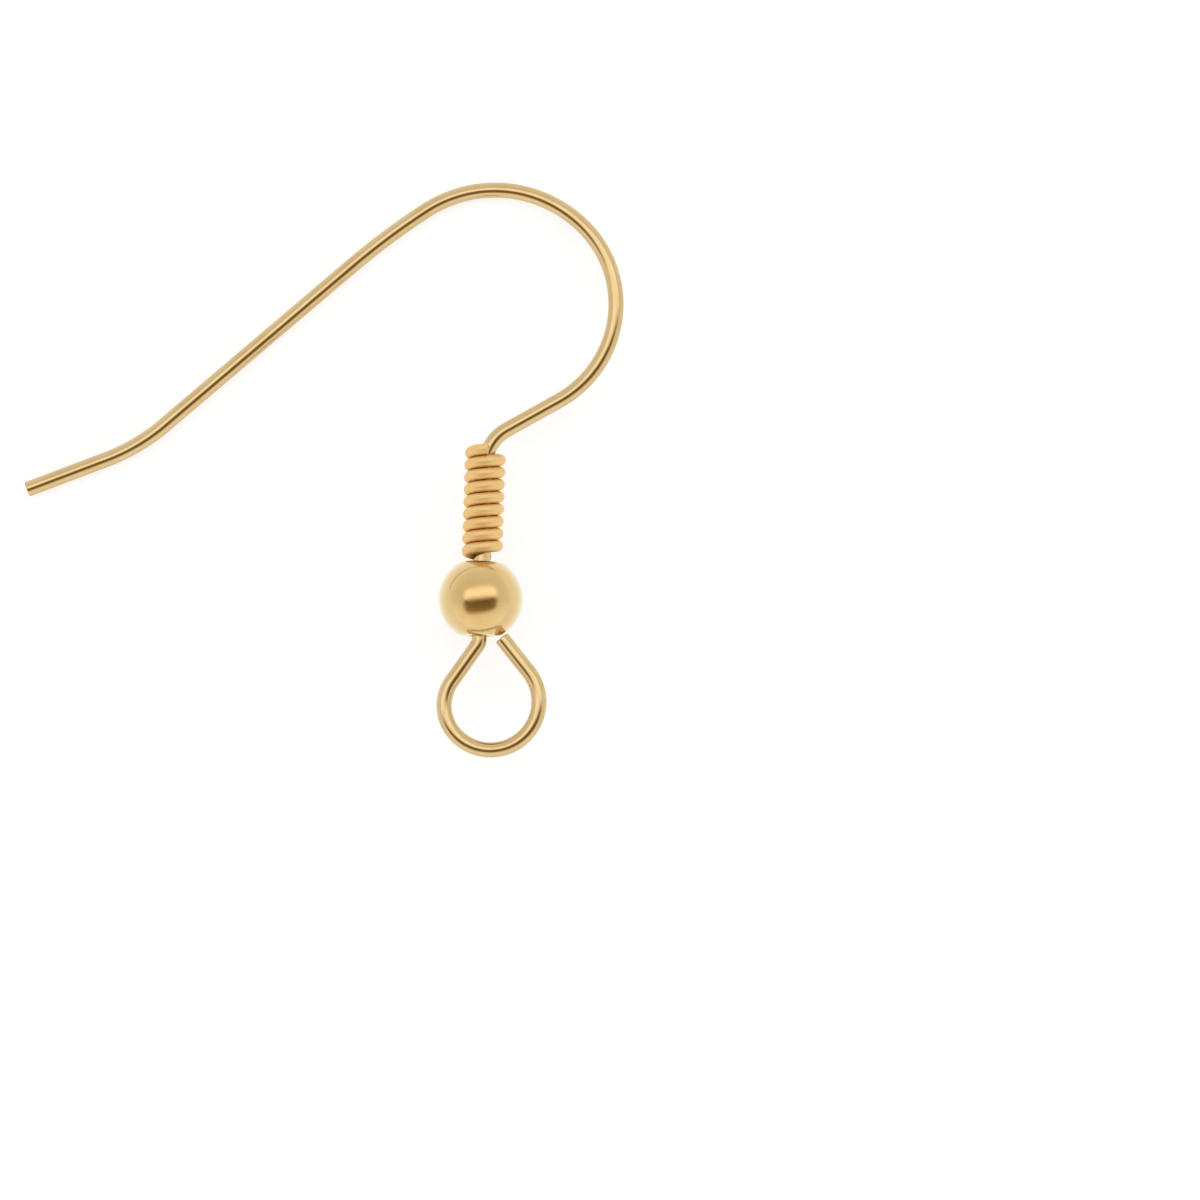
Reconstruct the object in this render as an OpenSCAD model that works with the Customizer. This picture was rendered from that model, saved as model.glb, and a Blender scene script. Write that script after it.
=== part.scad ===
// Ear wire: a fish-hook of round wire with a drilled ball and a coil on its shank and an open loop for
// a charm. It lies on its side on a flat surface. Lengths are in millimetres.
//
// The wire is drawn in its own flat plane, with the ball's centre at [0, 0] and the shank running up
// along +Y. A stretch's state is [x, y, heading], with the heading in degrees from +X.

/* [Wire] */
// Diameter of the hook's wire
wire_d = 0.55; // [0.4:0.05:0.65]

/* [Ball] */
// Diameter of the ball
ball_d = 3; // [2:0.25:4]
// How far the ball is flattened at each end of its hole
ball_flat = 0.17; // [0.08:0.01:0.25]
// Room between the shank and the ball's hole, all round
ball_room = 0.08; // [0.04:0.02:0.2]
// Width of the break at the hole's edges
ball_edge_break = 0.08; // [0.02:0.02:0.2]

/* [Coil] */
// Diameter of the coil's wire
coil_wire_d = 0.42; // [0.2:0.02:0.5]
// How far round from behind the shank the coil's wire starts, in degrees, negative on the throat's side
coil_start_angle = -24; // [-90:6:90]
// Whole turns in the coil
coil_turns = 8; // [3:1:12]
// How far the coil's wire runs on past its last whole turn, in degrees
coil_end_angle = 216; // [0:12:348]
// Gap between neighbouring turns
coil_gap = 0.02; // [0.01:0.01:0.2]
// Room between the shank and the coil, all round
coil_room = 0.04; // [0.03:0.01:0.1]
// Gap between the ball's flattened end and the turn that rests on it
coil_seat_gap = 0.02; // [0.01:0.01:0.1]

/* [Hook] */
// Gap between the bend out of the coil and the last turn that passes on the bend's inner side
throat_gap = 0.02; // [0.01:0.01:0.03]
// Radius of the bend out of the coil
throat_bend_r = 1.5; // [0.9:0.02:2]
// Angle of the bend out of the coil
throat_bend_angle = 59.2; // [45:0.2:65]
// Length of the straight rise from the throat to the arch
rise_length = 2.15; // [1.5:0.01:4]
// Radius of the arch's front, over the throat
front_bend_r = 3.95; // [3:0.05:6]
// Angle of the arch's front
front_bend_angle = 102.2; // [90:0.2:110]
// Radius of the arch's crown
crown_bend_r = 4.51; // [3:0.01:6]
// Angle of the arch's crown
crown_bend_angle = 81.6; // [70:0.2:90]
// Radius of the easy curve from the crown into the leg
shoulder_bend_r = 25; // [10:1:40]
// Angle of that easy curve
shoulder_bend_angle = 7.5; // [2:0.5:10]
// Length of the straight leg
leg_length = 8.9; // [5:0.1:14]
// Radius of the bend that flares the tip outwards
flare_bend_r = 6.9; // [3:0.1:12]
// Angle of the flare
flare_bend_angle = 19.8; // [10:0.2:30]
// Length of the straight tip, up to its cut end
tip_length = 3.06; // [2:0.02:6]

/* [Loop] */
// How far below the ball the wire starts to bend into the loop
neck_length = 0.12; // [0.04:0.01:0.2]
// Radius of the bend out of the ball
neck_bend_r = 0.41; // [0.35:0.01:0.8]
// Angle of the bend out of the ball
neck_bend_angle = 33.7; // [25:0.1:40]
// Length of the straight stretch beside the neck
limb_length = 1.55; // [1:0.05:2.5]
// Radius of the loop's side under the neck
side_bend_r = 1.51; // [1.2:0.01:2.5]
// Angle of the loop's side
side_bend_angle = 74.7; // [70:0.1:80]
// Radius of the loop's foot and far side
foot_bend_r = 1.72; // [1.4:0.01:2.5]
// How far beside the ball's centre the loop's last straight stretch aims
loop_end_offset = 0.27; // [0:0.01:0.4]
// Gap left between the ball and the loop's cut end
loop_end_gap = 0.07; // [0.05:0.01:0.5]

/* [Hidden] */
$fn = 48;
GOLD = [0.83, 0.66, 0.37];
PALE_GOLD = [0.86, 0.7, 0.42];
DEEP_GOLD = [0.78, 0.6, 0.32];
// Columns of a route's table: a straight stretch's length, then its bend's radius and its angle,
// positive where the wire turns left
LENGTH = 0;
RADIUS = 1;
ANGLE = 2;
// Points taken on each bend when the outline is measured
OUTLINE_STEPS = 90;
// Bends run on into the stretches beside them by this lap, and are thinner than those by this hair
LAP = 0.01;
HAIR = 0.001;
// Sides of the coil's wire, and rings on each of its turns
COIL_SIDES = 10;
COIL_RINGS = 24;
// Degrees before the throat's side from which the coil's end counts as passing there
THROAT_SIDE = 72;

wire_r = wire_d / 2;
ball_r = ball_d / 2;
ball_end = ball_r - ball_flat;
hole_r = wire_r + ball_room;

coil_wire_r = coil_wire_d / 2;
coil_mean_r = wire_r + coil_room + coil_wire_r;
coil_pitch = coil_wire_d + coil_gap;
coil_span = coil_turns + coil_end_angle / 360;
// The coil's first turn lies on the ball
coil_start = ball_end + coil_seat_gap + coil_wire_r;
// It passes the throat's side three quarters of a turn round from behind the shank. The shank starts to
// bend below its last pass there.
first_throat_pass = 0.75 - coil_start_angle / 360;
last_throat_pass = floor(coil_span - first_throat_pass + THROAT_SIDE / 360) + first_throat_pass;
throat_reach = throat_bend_r - wire_r - coil_wire_r;
throat_drop = sqrt(pow(throat_reach - throat_gap, 2) - pow(throat_reach - coil_room, 2));

neck = [0, -ball_end - neck_length];
throat_y = coil_start + coil_pitch * last_throat_pass - throat_drop;

hook_start = [neck[0], neck[1], 90];
hook_route = [
    [throat_y - neck[1], throat_bend_r, -throat_bend_angle],
    [rise_length, front_bend_r, front_bend_angle],
    [0, crown_bend_r, crown_bend_angle],
    [0, shoulder_bend_r, shoulder_bend_angle],
    [leg_length, flare_bend_r, -flare_bend_angle],
    [tip_length, 0, 0],
];

loop_start = [neck[0], neck[1], 270];
loop_side = [
    [0, neck_bend_r, -neck_bend_angle],
    [limb_length, side_bend_r, side_bend_angle],
];
foot_start = station(loop_side, loop_start, len(loop_side));
foot_bend_angle = angle_to_ball(foot_start, foot_bend_r);
return_start = after_bend(foot_start, foot_bend_r, foot_bend_angle);
loop_route = concat(loop_side, [
    [0, foot_bend_r, foot_bend_angle],
    [return_length(return_start), 0, 0],
]);

// The state after a straight stretch
function after_straight(p, length) =
    [p[0] + length * cos(p[2]), p[1] + length * sin(p[2]), p[2]];

// The centre that a bend turns about
function bend_centre(p, r, angle) =
    [p[0] - sign(angle) * r * sin(p[2]), p[1] + sign(angle) * r * cos(p[2])];

// The state after a bend
function after_bend(p, r, angle) =
    let (c = bend_centre(p, r, angle), end = p[2] + angle)
    [c[0] + sign(angle) * r * sin(end), c[1] - sign(angle) * r * cos(end), end];

// The state at the start of a route's row, or at the route's end for the row after the last
function station(route, start, row) =
    row == 0 ? start :
    let (p = station(route, start, row - 1), r = route[row - 1])
    after_bend(after_straight(p, r[LENGTH]), r[RADIUS], r[ANGLE]);

// How far the foot turns left before the wire heads for the ball, past its centre by the offset
function angle_to_ball(p, r) =
    let (
        c = bend_centre(p, r, 1),
        heading = atan2(-c[1], -c[0]) + acos(-(loop_end_offset + r) / norm(c)) - 90,
        turn = heading - p[2]
    )
    turn - 360 * floor(turn / 360);

// Length of the loop's last stretch: its end face comes within the gap of the ball
function return_length(p) =
    let (
        along = [cos(p[2]), sin(p[2])],
        corner = [p[0], p[1]] - wire_r * [-sin(p[2]), cos(p[2])],
        to_ball = -corner * along,
        past = norm(corner + to_ball * along),
        clear = ball_r + loop_end_gap
    )
    to_ball - sqrt(max(0, clear * clear - past * past));

// States along a route, close enough together to measure its outline
function samples(route, start) = [
    for (row = [0:len(route) - 1])
        let (
            p = station(route, start, row),
            q = after_straight(p, route[row][LENGTH])
        )
        for (k = [-1:OUTLINE_STEPS])
            k < 0 ? p : after_bend(q, route[row][RADIUS], route[row][ANGLE] * k / OUTLINE_STEPS)
];

// Lying down: the ball's side, the tip and the arch's shoulder touch the surface. The shoulder is where
// a straight edge laid against the tip and the arch touches the arch.
hook_samples = samples(hook_route, hook_start);
loop_samples = samples(loop_route, loop_start);
tip = hook_samples[len(hook_samples) - 1];
edge_headings = [
    for (p = hook_samples)
        norm([p[0] - tip[0], p[1] - tip[1]]) > wire_d ? atan2(p[1] - tip[1], p[0] - tip[0]) : -180
];
edge_heading = max(edge_headings);
edge_to_tip = [-cos(edge_heading), -sin(edge_heading)];
downhill = [-sin(edge_heading), cos(edge_heading)];
lie_angle = asin((ball_r - wire_r) / ([tip[0], tip[1]] * downhill));

// Both edges of the wire, seen from above once it lies down
outline = [
    for (p = concat(hook_samples, loop_samples))
        for (side = [-wire_r, wire_r])
            let (q = [p[0] - side * sin(p[2]), p[1] + side * cos(p[2])])
            q - (1 - cos(lie_angle)) * (q * downhill) * downhill
];
middle = [for (i = [0:1]) (min([for (q = outline) q[i]]) + max([for (q = outline) q[i]])) / 2];

// Puts what is drawn in the wire's plane on the surface, centred under its own outline
module lying() {
    translate([-middle[0], -middle[1], ball_r])
        rotate(a = lie_angle, v = [edge_to_tip[0], edge_to_tip[1], 0])
            children();
}

module straight_wire(p, length) {
    translate([p[0], p[1], 0])
        rotate([0, 90, p[2]])
            cylinder(h = length, r = wire_r);
}

module bent_wire(p, r, angle, thinner) {
    c = bend_centre(p, r, angle);
    turned = p[2] - sign(angle) * 90;
    lap = LAP / r * 180 / PI;
    translate([c[0], c[1], 0])
        rotate([0, 0, min(turned, turned + angle) - lap])
            rotate_extrude(angle = abs(angle) + 2 * lap)
                translate([r, 0])
                    circle(r = wire_r - thinner);
}

// How many hairs thinner a row's bend is: one beside a straight stretch, two beside another such bend
function hairs(route, row) =
    row > 0 && route[row][LENGTH] == 0 && hairs(route, row - 1) == 1 ? 2 : 1;

module wire_along(route, start) {
    for (row = [0:len(route) - 1]) {
        p = station(route, start, row);
        q = after_straight(p, route[row][LENGTH]);
        if (route[row][LENGTH] > 0) straight_wire(p, route[row][LENGTH]);
        if (route[row][ANGLE] != 0)
            bent_wire(q, route[row][RADIUS], route[row][ANGLE], HAIR * hairs(route, row));
    }
}

// One wire from the cut tip over the arch, down the shank and round the loop
module ear_hook() {
    color(GOLD) lying() {
        wire_along(hook_route, hook_start);
        wire_along(loop_route, loop_start);
    }
}

// A point of the coil's wire: turn counts up from the coil's start, angle goes round the wire
function coil_point(turn, angle) =
    let (
        a = coil_start_angle + 360 * turn,
        outward = [-sin(a), 0, -cos(a)],
        sweep = [-cos(a), 0, sin(a)],
        slope = atan(coil_pitch / (2 * PI * coil_mean_r)),
        across = [-sin(slope) * sweep[0], cos(slope), -sin(slope) * sweep[2]]
    )
    coil_mean_r * outward + [0, coil_start + coil_pitch * turn, 0]
    + coil_wire_r * (cos(angle) * outward + sin(angle) * across);

// Right-handed, wound close, with a square cut at each end
module coil() {
    rings = ceil(coil_span * COIL_RINGS);
    points = [
        for (i = [0:rings])
            for (j = [0:COIL_SIDES - 1])
                coil_point(coil_span * i / rings, 360 * j / COIL_SIDES)
    ];
    first_cut = [for (j = [0:COIL_SIDES - 1]) j];
    last_cut = [for (j = [COIL_SIDES - 1:-1:0]) rings * COIL_SIDES + j];
    sides = [
        for (i = [0:rings - 1])
            for (j = [0:COIL_SIDES - 1])
                let (
                    a = i * COIL_SIDES + j,
                    b = i * COIL_SIDES + (j + 1) % COIL_SIDES
                )
                each [[a, a + COIL_SIDES, b + COIL_SIDES], [a, b + COIL_SIDES, b]]
    ];
    color(DEEP_GOLD) lying()
        polyhedron(points = points, faces = concat([first_cut, last_cut], sides));
}

// A ball drilled for the shank and flattened round its hole, whose edges are broken
module ball() {
    color(PALE_GOLD) lying() difference() {
        intersection() {
            sphere(r = ball_r);
            cube([2 * ball_d, 2 * ball_end, 2 * ball_d], center = true);
        }
        rotate([90, 0, 0]) cylinder(h = 2 * ball_d, r = hole_r, center = true);
        for (end = [-90, 90])
            rotate([end, 0, 0])
                translate([0, 0, ball_end - ball_edge_break])
                    cylinder(h = 2 * ball_edge_break, r1 = hole_r, r2 = hole_r + 2 * ball_edge_break);
    }
}

ear_hook();
coil();
ball();
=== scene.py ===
"""Looks of the ear wire: fine gilt meshes over its solids, on a pale table in a photographer's tent.

Sizes are in millimetres until a mesh is made. The wire is drawn in its own flat plane, with the ball's
centre at the origin and the shank along +Y, and is then laid down onto the table.
"""

import math

import bpy
from mathutils import Matrix, Vector


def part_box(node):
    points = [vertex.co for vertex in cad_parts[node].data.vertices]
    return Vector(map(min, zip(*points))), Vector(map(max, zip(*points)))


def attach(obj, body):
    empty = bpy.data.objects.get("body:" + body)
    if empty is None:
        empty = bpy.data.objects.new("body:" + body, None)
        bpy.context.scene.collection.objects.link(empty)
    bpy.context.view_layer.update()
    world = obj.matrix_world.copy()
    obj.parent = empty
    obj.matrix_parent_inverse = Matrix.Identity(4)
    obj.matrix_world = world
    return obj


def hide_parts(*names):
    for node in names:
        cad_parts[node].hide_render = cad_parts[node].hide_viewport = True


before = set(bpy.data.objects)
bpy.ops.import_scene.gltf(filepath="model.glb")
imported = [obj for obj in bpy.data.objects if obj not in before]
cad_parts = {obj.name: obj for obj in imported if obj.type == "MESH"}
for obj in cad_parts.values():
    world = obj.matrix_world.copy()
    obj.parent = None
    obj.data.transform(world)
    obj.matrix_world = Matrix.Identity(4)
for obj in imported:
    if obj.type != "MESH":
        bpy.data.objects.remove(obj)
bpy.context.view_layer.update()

MM = 0.001

# The wire, the ball and the coil, as in the solids, with angles in degrees
WIRE_R = 0.275
BALL_R = 1.5
BALL_FLAT = 0.17
BALL_RIM = 0.12
HOLE_R = 0.355
HOLE_EDGE = 0.08
COIL_WIRE_R = 0.21
COIL_ROOM = 0.04
COIL_GAP = 0.02
COIL_SEAT_GAP = 0.02
COIL_START_ANGLE = -24
COIL_TURNS = 8 + 216 / 360
THROAT_GAP = 0.02
THROAT_BEND_R = 1.5
NECK_LENGTH = 0.12
LOOP_END_OFFSET = 0.27
LOOP_END_GAP = 0.07
FOOT_BEND_R = 1.72

BALL_END = BALL_R - BALL_FLAT
COIL_MEAN_R = WIRE_R + COIL_ROOM + COIL_WIRE_R
COIL_PITCH = 2 * COIL_WIRE_R + COIL_GAP
COIL_START = BALL_END + COIL_SEAT_GAP + COIL_WIRE_R
FIRST_THROAT_PASS = 0.75 - COIL_START_ANGLE / 360
LAST_THROAT_PASS = math.floor(COIL_TURNS - FIRST_THROAT_PASS) + FIRST_THROAT_PASS
THROAT_REACH = THROAT_BEND_R - WIRE_R - COIL_WIRE_R
THROAT_DROP = math.sqrt((THROAT_REACH - THROAT_GAP) ** 2 - (THROAT_REACH - COIL_ROOM) ** 2)
THROAT_Y = COIL_START + COIL_PITCH * LAST_THROAT_PASS - THROAT_DROP
NECK_Y = -BALL_END - NECK_LENGTH

# The wire's route from the neck over the hook, and from the neck down the loop's side. Each row is the
# length of a straight stretch, then its bend's radius and its angle, positive where the wire turns left
HOOK_ROWS = [
    (THROAT_Y - NECK_Y, THROAT_BEND_R, -59.2),
    (2.15, 3.95, 102.2),
    (0, 4.51, 81.6),
    (0, 25, 7.5),
    (8.9, 6.9, -19.8),
    (3.06, 0, 0),
]
LOOP_SIDE_ROWS = [(0, 0.41, -33.7), (1.55, 1.51, 74.7)]

# How far the edges of the cut ends are broken
WIRE_EDGE = 0.035
COIL_WIRE_EDGE = 0.03

# How fine the meshes are; a cut face's rings are shares of the radius of its flat
WIRE_SIDES = 48
WIRE_STEP = 0.1
COIL_SIDES = 28
COIL_RINGS_A_TURN = 60
BALL_SEGMENTS = 128
BALL_RINGS = 88
BORE_RINGS = 12
EDGE_RINGS = 6
CUT_FACE_RINGS = (0.3, 0.6, 0.85, 0.97)

# Tones of the gold plate, how it wears, and the painted sheen that pales it towards the rim. A border is
# the span over which one look gives way to the next
GOLD = (0.65, 0.478, 0.246)
DEEP_GOLD = (0.615, 0.445, 0.212)
# The coil's gold is lighter and more orange than the wire's. The lightening is painted light that lifts
# the shade gathering between its close turns
LIGHTENED_COIL_GOLD = (0.84, 0.585, 0.262)
BALL_GOLD = (0.68, 0.478, 0.21)
DEEP_BALL_GOLD = (0.645, 0.445, 0.18)
# The pale gold of a painted reflection, which the ball's colour turns to where its surface turns away
# from the eye
RIM_SHEEN_GOLD = (0.95, 0.84, 0.55)
WORN_SHADE = 0.82
WORN_SHARE = 0.5
CLOUD_SCALE = 1.3
CLOUD_BORDER = (0.35, 0.65)
SWELL_SCALE = 2.6
LINE_ROUGHNESS = 0.09
LINE_DEPTH = 0.0006
# The facing values over which the painted rim sheen comes in
RIM_SHEEN_BORDER = (0.2, 0.95)

# Marks on the plate: a mark's length and widths, and the turns of the scratches in degrees
BROAD_LINE = (14.0, 0.16, 0.16)
FINE_LINE = (5.0, 0.03, 0.03)
SCRATCH = (1.2, 0.02, 0.02)
SCRATCH_TURNS = ((0, 20, 35), (70, 0, 100), (20, 80, 160))
SCRATCH_BORDER = (0.62, 0.75)

# A cut face: its tones, the border between its smooth and its torn band, and the pits
SMOOTH_CUT = (0.74, 0.53, 0.25, 1)
TORN_CUT = (0.66, 0.46, 0.2, 1)
TORN_BORDER = (-0.06, 0.02)
PIT_SCALE = 38.0
PIT_DEPTH = 0.006
PIT_BORDER = (0.2, 0.8)
PIT_ROUGHNESS = (0.4, 0.65)

# The tent. Its top holds the camera's dark front and, beyond that, a bright card. Their spans are in
# degrees from straight up, and both slant a little
TOP_ACROSS = (-46, 46)
TOP_ACROSS_SOFT = 8
FRONT_SPAN = (-39, 1)
CARD_SPAN = (4, 34)
SPAN_SOFT = 10
TOP_SLANT = -0.15
CLOTH_LEVEL = 1.04
CLOTH_TOP_CHANGE = -0.2
NEAR_SIDE_LEVEL = 0.22
NEAR_SIDE_SPAN = (0.2, -0.9)
CARD_LEVEL = 0.64
FRONT_LEVEL = -0.7
FRONT_TINT = (1, 0.72, 0.35, 1)
WHITE = (1, 1, 1, 1)

# The table, in metres
TABLE_HALF = 1.5
TABLE_TONE = (0.35, 0.35, 0.35, 1)
TABLE_ROUGHNESS = 0.8
TABLE_GLOW = 0.73

# The photograph's view
PHOTO_PIXELS_PER_MM = 28.0
PHOTO_WIDTH = 1200
CAMERA_HEIGHT = 300.0
CAMERA_FROM_BALL = (4.2635, 0.0908)
CAMERA_ROLL = 1.7
SENSOR_WIDTH = 36.0
NEAREST_SEEN = 0.01


def after_straight(state, length):
    x, y, heading = state
    a = math.radians(heading)
    return (x + length * math.cos(a), y + length * math.sin(a), heading)


def bend_centre(state, radius, angle):
    x, y, heading = state
    a = math.radians(heading)
    side = math.copysign(radius, angle)
    return (x - side * math.sin(a), y + side * math.cos(a))


def after_bend(state, radius, angle):
    if angle == 0:
        return state
    cx, cy = bend_centre(state, radius, angle)
    heading = state[2] + angle
    a = math.radians(heading)
    side = math.copysign(radius, angle)
    return (cx + side * math.sin(a), cy - side * math.cos(a), heading)


def walk(rows, start):
    """The wire's states (x, y, heading) along the rows, close enough together for a smooth mesh."""
    states = [start]
    for length, radius, angle in rows:
        begin = states[-1]
        steps = math.ceil(length / WIRE_STEP)
        states += [after_straight(begin, length * k / steps) for k in range(1, steps + 1)]
        begin = states[-1]
        arc = radius * math.radians(abs(angle))
        steps = math.ceil(arc / WIRE_STEP)
        states += [after_bend(begin, radius, angle * k / steps) for k in range(1, steps + 1)]
    return states


def foot_angle(state, radius):
    """How far the loop's foot turns left before its wire heads past the ball's centre, by the offset."""
    cx, cy = bend_centre(state, radius, 1)
    to_ball = math.degrees(math.atan2(-cy, -cx))
    heading = to_ball + math.degrees(math.acos(-(LOOP_END_OFFSET + radius) / math.hypot(cx, cy))) - 90
    return (heading - state[2]) % 360


def return_length(state):
    """Length of the loop's last stretch, whose cut end stops at the gap from the ball."""
    x, y, heading = state
    a = math.radians(heading)
    along = Vector((math.cos(a), math.sin(a)))
    corner = Vector((x, y)) - WIRE_R * Vector((-math.sin(a), math.cos(a)))
    to_ball = -corner.dot(along)
    past = (corner + to_ball * along).length
    return to_ball - math.sqrt((BALL_R + LOOP_END_GAP) ** 2 - past**2)


def wire_states():
    """The whole wire, from the cut tip over the arch, down the shank and round the loop."""
    hook = walk(HOOK_ROWS, (0, NECK_Y, 90))
    side = walk(LOOP_SIDE_ROWS, (0, NECK_Y, 270))
    foot = walk([(0, FOOT_BEND_R, foot_angle(side[-1], FOOT_BEND_R))], side[-1])
    end = walk([(return_length(foot[-1]), 0, 0)], foot[-1])
    to_neck = [(x, y, heading + 180) for x, y, heading in reversed(hook)]
    return to_neck + side[1:] + foot[1:] + end[1:]


def laid_down(states):
    """The matrix that lays the wire's plane on the table: it rests on its ball, its tip and the arch."""
    tip = Vector(states[0][:2])
    headings = []
    for x, y, _ in states:
        away = Vector((x, y)) - tip
        if away.length > 2 * WIRE_R:
            headings.append(math.atan2(away.y, away.x))
    edge = max(headings)
    downhill = Vector((-math.sin(edge), math.cos(edge)))
    angle = math.asin((BALL_R - WIRE_R) / tip.dot(downhill))
    axis = Vector((-math.cos(edge), -math.sin(edge), 0))
    low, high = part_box("ball")
    return Matrix.Translation((low + high) / 2) @ Matrix.Rotation(angle, 4, axis) @ Matrix.Scale(MM, 4)


def tube(name, stations, radius, sides, edge):
    """A wire as a mesh, with a softly broken edge at each square cut.

    A station is (centre, side, up, tangent). The mesh's point attribute "grain" holds the distance along
    the wire and the place across it, and "worn" is 1 on the broken edges. The cut faces take the second
    material.
    """
    quarter = [math.pi / 2 * k / EDGE_RINGS for k in range(EDGE_RINGS + 1)]
    inner = [(0, (radius - edge) * share) for share in CUT_FACE_RINGS]
    broken = [(edge * (1 - math.sin(a)), radius - edge + edge * math.cos(a)) for a in reversed(quarter)]
    profile = inner + broken
    cap_rings = len(inner) + 1
    first, last = stations[0], stations[-1]
    rings = [(first[0] + first[3] * back, first, wide) for back, wide in profile]
    rings += [(station[0], station, radius) for station in stations[1:-1]]
    rings += [(last[0] - last[3] * back, last, wide) for back, wide in reversed(profile)]

    points, grain, worn = [], [], []
    along = 0
    before = rings[0][0]
    for centre, (_, side, up, _), wide in rings:
        along += (centre - before).length
        before = centre
        for k in range(sides):
            a = 2 * math.pi * k / sides
            points.append(centre + wide * (math.cos(a) * side + math.sin(a) * up))
            grain.append((along, wide * math.cos(a), wide * math.sin(a)))
            worn.append(1.0 if wide < radius else 0.0)
    faces, cut = [], []
    count = len(rings)
    for i in range(count - 1):
        for k in range(sides):
            a, b = i * sides + k, i * sides + (k + 1) % sides
            faces.append((a, b, b + sides, a + sides))
            cut.append(i < cap_rings - 1 or i >= count - cap_rings)
    for centre, ring, order in ((first[0], 0, -1), (last[0], count - 1, 1)):
        points.append(centre)
        grain.append((0 if ring == 0 else along, 0, 0))
        worn.append(1.0)
        for k in range(sides):
            pair = (ring * sides + k, ring * sides + (k + 1) % sides)
            faces.append(pair[::order] + (len(points) - 1,))
            cut.append(True)
    return mesh_object(name, points, faces, grain, worn, cut)


def mesh_object(name, points, faces, grain, worn, cut):
    """A smooth mesh, laid down onto the table. cut tells which faces take the second material."""
    mesh = bpy.data.meshes.new(name)
    mesh.from_pydata([LYING @ Vector(p) for p in points], [], faces)
    grain_layer = mesh.attributes.new("grain", "FLOAT_VECTOR", "POINT")
    grain_layer.data.foreach_set("vector", [x for g in grain for x in g])
    worn_layer = mesh.attributes.new("worn", "FLOAT", "POINT")
    worn_layer.data.foreach_set("value", worn)
    mesh.polygons.foreach_set("use_smooth", [True] * len(faces))
    mesh.polygons.foreach_set("material_index", [int(c) for c in cut])
    mesh.update()
    piece = bpy.data.objects.new(name, mesh)
    bpy.context.scene.collection.objects.link(piece)
    return piece


def hook_wire(states):
    stations = []
    for x, y, heading in states:
        a = math.radians(heading)
        tangent = Vector((math.cos(a), math.sin(a), 0))
        side = Vector((-math.sin(a), math.cos(a), 0))
        stations.append((Vector((x, y, 0)), side, Vector((0, 0, 1)), tangent))
    return tube("hook_wire", stations, WIRE_R, WIRE_SIDES, WIRE_EDGE)


def coil_wire():
    """A right-handed helix that starts on the ball, part of a turn round from behind the shank."""
    slope = math.atan(COIL_PITCH / (2 * math.pi * COIL_MEAN_R))
    steps = math.ceil(COIL_TURNS * COIL_RINGS_A_TURN)
    stations = []
    for k in range(steps + 1):
        turn = COIL_TURNS * k / steps
        a = 2 * math.pi * turn + math.radians(COIL_START_ANGLE)
        outward = Vector((-math.sin(a), 0, -math.cos(a)))
        sweep = Vector((-math.cos(a), 0, math.sin(a)))
        rise = Vector((0, 1, 0))
        tangent = math.cos(slope) * sweep + math.sin(slope) * rise
        across = math.cos(slope) * rise - math.sin(slope) * sweep
        centre = COIL_MEAN_R * outward + (COIL_START + COIL_PITCH * turn) * rise
        stations.append((centre, outward, -across, tangent))
    return tube("coil_wire", stations, COIL_WIRE_R, COIL_SIDES, COIL_WIRE_EDGE)


def rounded(start, corner, end):
    """Points of a curve that leads from start to end and rounds off the corner between them."""
    curve = []
    for k in range(EDGE_RINGS + 1):
        t = k / EDGE_RINGS
        shares = ((1 - t) ** 2, 2 * t * (1 - t), t**2)
        curve.append(tuple(sum(w * x for w, x in zip(shares, axis)) for axis in zip(start, corner, end)))
    return curve


def drilled_ball():
    """A ball turned round the shank's line, with a bore, its lips, flat ends and their rounded rims."""
    lip_r = HOLE_R + HOLE_EDGE
    flat_r = math.sqrt(BALL_R**2 - BALL_END**2)
    top = math.asin(BALL_END / BALL_R) - BALL_RIM / BALL_R
    rim_end = (BALL_R * math.cos(top), BALL_R * math.sin(top))
    lip = rounded((HOLE_R, BALL_END - HOLE_EDGE), (HOLE_R, BALL_END), (lip_r, BALL_END))
    rim = rounded((flat_r - BALL_RIM, BALL_END), (flat_r, BALL_END), rim_end)
    arc = [top - 2 * top * k / BALL_RINGS for k in range(1, BALL_RINGS)]
    profile = [(x, y, 1.0) for x, y in lip] + [(x, y, 0.0) for x, y in rim]
    profile += [(BALL_R * math.cos(a), BALL_R * math.sin(a), 0.0) for a in arc]
    profile += [(x, -y, 0.0) for x, y in reversed(rim)] + [(x, -y, 1.0) for x, y in reversed(lip)]
    bore_y = BALL_END - HOLE_EDGE
    profile += [(HOLE_R, -bore_y + 2 * bore_y * k / BORE_RINGS, 0.0) for k in range(1, BORE_RINGS)]
    points, worn = [], []
    for radius, y, wear in profile:
        for k in range(BALL_SEGMENTS):
            a = 2 * math.pi * k / BALL_SEGMENTS
            points.append((radius * math.cos(a), y, radius * math.sin(a)))
            worn.append(wear)
    faces = []
    for i in range(len(profile)):
        start, after = i * BALL_SEGMENTS, (i + 1) % len(profile) * BALL_SEGMENTS
        for k in range(BALL_SEGMENTS):
            following = (k + 1) % BALL_SEGMENTS
            faces.append((start + k, start + following, after + following, after + k))
    return mesh_object("drilled_ball", points, faces, points, worn, [False] * len(faces))


def node(tree, kind, sockets=None, **settings):
    """Adds a node. sockets maps an input's name or number to its value or to the output that feeds it."""
    new = tree.nodes.new(kind)
    for name, value in settings.items():
        setattr(new, name, value)
    for key, value in (sockets or {}).items():
        if isinstance(value, bpy.types.NodeSocket):
            tree.links.new(value, new.inputs[key])
        else:
            new.inputs[key].default_value = value
    return new


def new_tree(owner):
    owner.use_nodes = True
    owner.node_tree.nodes.clear()
    return owner.node_tree


def noise(tree, vector, scale, detail=3.0, roughness=0.5):
    settings = {"Vector": vector, "Scale": scale, "Detail": detail, "Roughness": roughness}
    return node(tree, "ShaderNodeTexNoise", settings).outputs[0]


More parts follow.
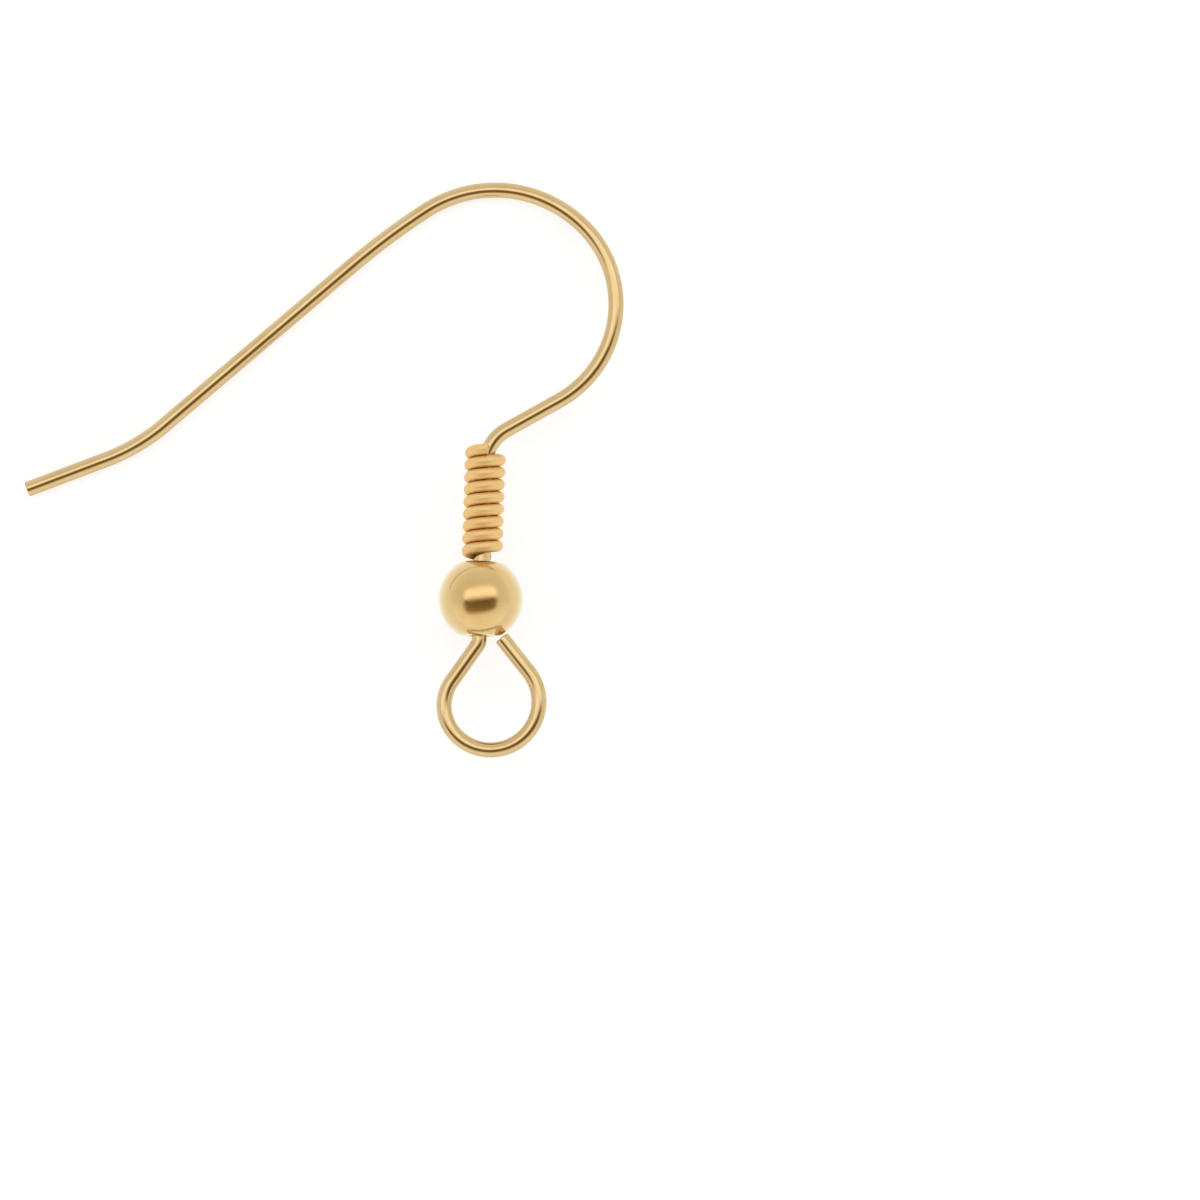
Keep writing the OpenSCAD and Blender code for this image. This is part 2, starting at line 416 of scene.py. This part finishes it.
def stretched(tree, vector, scale, rotation=(0, 0, 0)):
    settings = {"Vector": vector, "Scale": scale, "Rotation": [math.radians(r) for r in rotation]}
    return node(tree, "ShaderNodeMapping", settings, vector_type="TEXTURE").outputs[0]


def ramp(tree, value, low, high, to_low=0.0, to_high=1.0):
    settings = {0: value, 1: low, 2: high, 3: to_low, 4: to_high}
    return node(tree, "ShaderNodeMapRange", settings, interpolation_type="SMOOTHSTEP").outputs[0]


def maths(tree, operation, a, b=0.0, c=0.0):
    return node(tree, "ShaderNodeMath", {0: a, 1: b, 2: c}, operation=operation).outputs[0]


def mix_colour(tree, factor, a, b):
    mix = node(tree, "ShaderNodeMix", {0: factor, 6: a, 7: b}, data_type="RGBA")
    return mix.outputs[2]


def gilt(name, colour, deep, marks, roughness, waviness, rim=0.0):
    """Gold plate. deep is its tone where the plate is thick.

    marks(tree, grain) gives fine lines from 0 to 1. waviness is a height in millimetres. rim is how far
    a painted sheen, a painted reflection of the bright table, pales the plate where it turns away from
    the eye, from 0 to 1.
    """
    material = bpy.data.materials.new(name)
    tree = new_tree(material)
    grain = node(tree, "ShaderNodeAttribute", attribute_name="grain").outputs["Vector"]
    worn = node(tree, "ShaderNodeAttribute", attribute_name="worn").outputs["Fac"]
    lines = marks(tree, grain)
    cloud = noise(tree, grain, CLOUD_SCALE, detail=4.0, roughness=0.6)
    tone = mix_colour(tree, ramp(tree, cloud, *CLOUD_BORDER), colour + (1,), deep + (1,))
    # Painted reflection: the colour pales towards a pale gold where the surface turns away from the eye,
    # in place of the bright table's reflection at the rim
    facing = node(tree, "ShaderNodeLayerWeight", {"Blend": 0.5}).outputs["Facing"]
    painted_rim_sheen = maths(tree, "MULTIPLY", ramp(tree, facing, *RIM_SHEEN_BORDER), rim)
    plate = mix_colour(tree, painted_rim_sheen, tone, RIM_SHEEN_GOLD + (1,))
    rubbed = [channel * WORN_SHADE for channel in colour]
    base = mix_colour(tree, maths(tree, "MULTIPLY", worn, WORN_SHARE), plate, rubbed + [1])
    rough = maths(tree, "MULTIPLY_ADD", lines, LINE_ROUGHNESS, roughness)
    swell = noise(tree, grain, SWELL_SCALE, detail=2.0)
    wavy = node(tree, "ShaderNodeBump", {"Height": swell, "Distance": waviness * MM, "Strength": 1.0})
    scored = node(tree, "ShaderNodeBump", {
        "Height": lines, "Distance": LINE_DEPTH * MM, "Strength": 1.0, "Normal": wavy.outputs[0],
    })
    shader = node(tree, "ShaderNodeBsdfPrincipled", {
        "Base Color": base, "Metallic": 1.0, "Roughness": rough, "Normal": scored.outputs[0],
    })
    node(tree, "ShaderNodeOutputMaterial", {0: shader.outputs[0]})
    return material


def drawn_lines(tree, grain):
    """Lines left along the wire by the die it was drawn through."""
    broad = noise(tree, stretched(tree, grain, BROAD_LINE), 1.0, detail=2.0)
    fine = noise(tree, stretched(tree, grain, FINE_LINE), 1.0, detail=2.0)
    return maths(tree, "MULTIPLY", maths(tree, "ADD", broad, fine), 0.5)


def polish_marks(tree, grain):
    """Hair-fine scratches in three directions, from tumbling."""
    lines = 0.0
    for turn in SCRATCH_TURNS:
        hairs = noise(tree, stretched(tree, grain, SCRATCH, turn), 1.0, detail=1.0)
        lines = maths(tree, "ADD", lines, ramp(tree, hairs, *SCRATCH_BORDER))
    return lines


def sheared(name):
    """The plated metal of a cut face: a smooth sheared band, then a torn, grainy one."""
    material = bpy.data.materials.new(name)
    tree = new_tree(material)
    grain = node(tree, "ShaderNodeAttribute", attribute_name="grain").outputs["Vector"]
    height = node(tree, "ShaderNodeSeparateXYZ", {0: grain}).outputs[2]
    torn = ramp(tree, height, *TORN_BORDER)
    pits = noise(tree, grain, PIT_SCALE, detail=4.0, roughness=0.7)
    tone = mix_colour(tree, torn, SMOOTH_CUT, TORN_CUT)
    relief = node(tree, "ShaderNodeBump", {
        "Height": maths(tree, "MULTIPLY", pits, torn), "Distance": PIT_DEPTH * MM, "Strength": 1.0,
    })
    shader = node(tree, "ShaderNodeBsdfPrincipled", {
        "Base Color": tone, "Metallic": 1.0, "Normal": relief.outputs[0],
        "Roughness": ramp(tree, pits, *PIT_BORDER, *PIT_ROUGHNESS),
    })
    node(tree, "ShaderNodeOutputMaterial", {0: shader.outputs[0]})
    return material


def window(tree, angle, low, high, soft):
    """1 where an angle lies between two limits in degrees, with soft borders."""
    rises = ramp(tree, angle, math.radians(low - soft), math.radians(low + soft))
    falls = ramp(tree, angle, math.radians(high - soft), math.radians(high + soft), 1.0, 0.0)
    return maths(tree, "MULTIPLY", rises, falls)


def tent():
    """The world: pale cloth, brightest on the near side, with a dark front and a bright card on top."""
    world = bpy.data.worlds.new("tent")
    bpy.context.scene.world = world
    tree = new_tree(world)
    direction = node(tree, "ShaderNodeTexCoord").outputs["Generated"]
    axes = node(tree, "ShaderNodeSeparateXYZ", {0: direction}).outputs
    to_right = maths(tree, "ARCTAN2", axes[0], axes[2])
    straight_back = maths(tree, "ARCTAN2", axes[1], axes[2])
    to_back = maths(tree, "MULTIPLY_ADD", to_right, TOP_SLANT, straight_back)
    across = window(tree, to_right, *TOP_ACROSS, TOP_ACROSS_SOFT)
    front = maths(tree, "MULTIPLY", across, window(tree, to_back, *FRONT_SPAN, SPAN_SOFT))
    card = maths(tree, "MULTIPLY", across, window(tree, to_back, *CARD_SPAN, SPAN_SOFT))
    level = maths(tree, "MULTIPLY_ADD", axes[2], CLOTH_TOP_CHANGE, CLOTH_LEVEL)
    near_side = ramp(tree, axes[1], *NEAR_SIDE_SPAN)
    for part, change in ((near_side, NEAR_SIDE_LEVEL), (card, CARD_LEVEL), (front, FRONT_LEVEL)):
        level = maths(tree, "MULTIPLY_ADD", part, change, level)
    tint = mix_colour(tree, front, WHITE, FRONT_TINT)
    backdrop = node(tree, "ShaderNodeBackground", {"Color": tint, "Strength": level})
    node(tree, "ShaderNodeOutputWorld", {0: backdrop.outputs[0]})


def table():
    """A pale sheet that glows a little, as a floor does that is lit until it is white."""
    material = bpy.data.materials.new("table")
    tree = new_tree(material)
    shader = node(tree, "ShaderNodeBsdfPrincipled", {
        "Base Color": TABLE_TONE, "Roughness": TABLE_ROUGHNESS,
        "Emission Color": WHITE, "Emission Strength": TABLE_GLOW,
    })
    node(tree, "ShaderNodeOutputMaterial", {0: shader.outputs[0]})
    mesh = bpy.data.meshes.new("table")
    corners = [(x * TABLE_HALF, y * TABLE_HALF, 0) for x, y in ((-1, -1), (1, -1), (1, 1), (-1, 1))]
    mesh.from_pydata(corners, [], [(0, 1, 2, 3)])
    mesh.materials.append(material)
    sheet = bpy.data.objects.new("table", mesh)
    bpy.context.scene.collection.objects.link(sheet)


def camera():
    """Straight above, as the photograph was taken."""
    low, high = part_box("ball")
    ball = (low + high) / 2
    data = bpy.data.cameras.new("camera")
    data.sensor_width = SENSOR_WIDTH
    focal_pixels = PHOTO_PIXELS_PER_MM * (CAMERA_HEIGHT - BALL_R)
    data.lens = focal_pixels / PHOTO_WIDTH * SENSOR_WIDTH
    data.clip_start = NEAREST_SEEN
    eye = bpy.data.objects.new("camera", data)
    dx, dy = CAMERA_FROM_BALL
    eye.location = (ball.x + dx * MM, ball.y + dy * MM, CAMERA_HEIGHT * MM)
    eye.rotation_euler = (0, 0, math.radians(CAMERA_ROLL))
    bpy.context.scene.collection.objects.link(eye)
    bpy.context.scene.camera = eye


STATES = wire_states()
LYING = laid_down(STATES)

wire_gilt = gilt("wire_gilt", GOLD, DEEP_GOLD, drawn_lines, 0.07, waviness=0.001)
# The coil's lighter gold paints light over the shade between its turns
coil_gilt = gilt("coil_gilt", LIGHTENED_COIL_GOLD, LIGHTENED_COIL_GOLD, drawn_lines, 0.5, waviness=0.001)
# rim=0.8 paints a pale sheen onto the ball's rim, a painted reflection that follows the eye
ball_gilt = gilt("ball_gilt", BALL_GOLD, DEEP_BALL_GOLD, polish_marks, 0.1, waviness=0.002, rim=0.8)
cut_metal = sheared("cut_metal")

for piece, cad_node, slot, finish in (
    (hook_wire(STATES), "ear_hook", "wire", (wire_gilt, cut_metal)),
    (coil_wire(), "coil", "coil", (coil_gilt, cut_metal)),
    (drilled_ball(), "ball", "ball", (ball_gilt,)),
):
    for material in finish:
        piece.data.materials.append(material)
    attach(piece, "root")
    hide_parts(cad_node)

tent()
table()
camera()
bpy.context.scene.view_settings.view_transform = "Standard"
